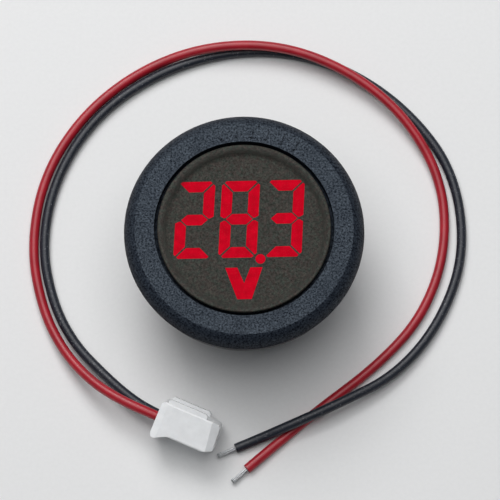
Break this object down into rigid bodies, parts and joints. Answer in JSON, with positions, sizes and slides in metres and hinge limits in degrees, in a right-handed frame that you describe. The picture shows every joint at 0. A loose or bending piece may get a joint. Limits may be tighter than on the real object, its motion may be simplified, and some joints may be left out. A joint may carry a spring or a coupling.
{
  "type": "digital panel voltmeter",
  "caption": "Round flush-face digital voltmeter with lit red digits, threaded barrel with ring nut and gasket, and a separate two-wire plug-in lead.",
  "frame": {"origin": "centre of the barrel's rear rim, on the surface that the meter stands on", "axes": "+Z along the barrel towards the display face, +Y towards the top of the display, +X to the right of the display"},
  "size_m": [0.0683, 0.0705, 0.0189],
  "materials": {
    "bezel_plastic": "fine spark-eroded texture",
    "barrel_nut_plastic": "plain moulded",
    "window_smoked": "smoked, fine matt grain",
    "adhesive": "double-sided tape",
    "reflector_plastic": "dull black",
    "resin_lit": "glowing red diffuser resin",
    "resin_unlit": "dark diffuser resin",
    "led_chip": "light chip",
    "board_laminate": "green solder mask",
    "package_black": "moulded package",
    "tin_plate": "tin plated",
    "can_aluminium": "drawn can",
    "chip_resistor": "glazed",
    "chip_ceramic": "ceramic body",
    "trimmer_blue": "moulded",
    "rotor_brass": "turned",
    "nylon_white": "natural white nylon",
    "cover_plastic": "plain moulded",
    "screw_steel": "zinc plated",
    "gasket_rubber": "soft",
    "pvc_red": "PVC insulation",
    "pvc_black": "PVC insulation",
    "tinned_strand": "tinned copper"
  },
  "bodies": {
    "meter": {"bezel_housing": "bezel_plastic", "display_window": "window_smoked", "window_adhesive": "adhesive", "display_reflector": "reflector_plastic", "segments_lit": "resin_lit", "segments_unlit": "resin_unlit", "led_chips": "led_chip", "circuit_board": "board_laminate", "controller_body": "package_black", "controller_leads": "tin_plate", "regulator_body": "package_black", "regulator_leads": "tin_plate", "input_diode": "package_black", "capacitor_base": "package_black", "capacitor_can": "can_aluminium", "chip_resistors": "chip_resistor", "chip_capacitors": "chip_ceramic", "trimmer_body": "trimmer_blue", "header_shroud": "nylon_white", "header_pins": "tin_plate", "solder_joints": "tin_plate", "rear_cover": "cover_plastic", "cover_screws": "screw_steel", "flange_gasket": "gasket_rubber"},
    "washer": {"slip_washer": "barrel_nut_plastic"},
    "nut": {"mounting_nut": "barrel_nut_plastic"},
    "trimmer": {"trimmer_rotor": "rotor_brass"},
    "lead": {"plug_housing": "nylon_white", "contact_red": "tin_plate", "contact_black": "tin_plate", "wire_red": "pvc_red", "wire_black": "pvc_black", "tip_red": "tinned_strand", "tip_black": "tinned_strand"}
  },
  "joints": [
    {"name": "nut_travel", "type": "slide", "parent": "meter", "child": "washer", "axis": [0, 0, 1], "range_m": [-0.0066, 0.0009]},
    {"name": "nut_turn", "type": "hinge", "parent": "washer", "child": "nut", "pos_m": [0, 0, 0.0086], "axis": [0, 0, 1], "range_deg": [-1583, 215]},
    {"name": "trimmer_turn", "type": "hinge", "parent": "meter", "child": "trimmer", "pos_m": [0.0076, 0.0028, 0.0095], "axis": [0, 0, 1], "range_deg": [-130, 130]},
    {"name": "lead_lift", "type": "slide", "parent": "meter", "child": "lead", "axis": [0, 0, 1], "range_m": [0, 0.1]}
  ],
  "couplings": [
    {"joint": "nut_travel", "follows": "nut_turn", "m_per_rad": 0.00023873}
  ]
}
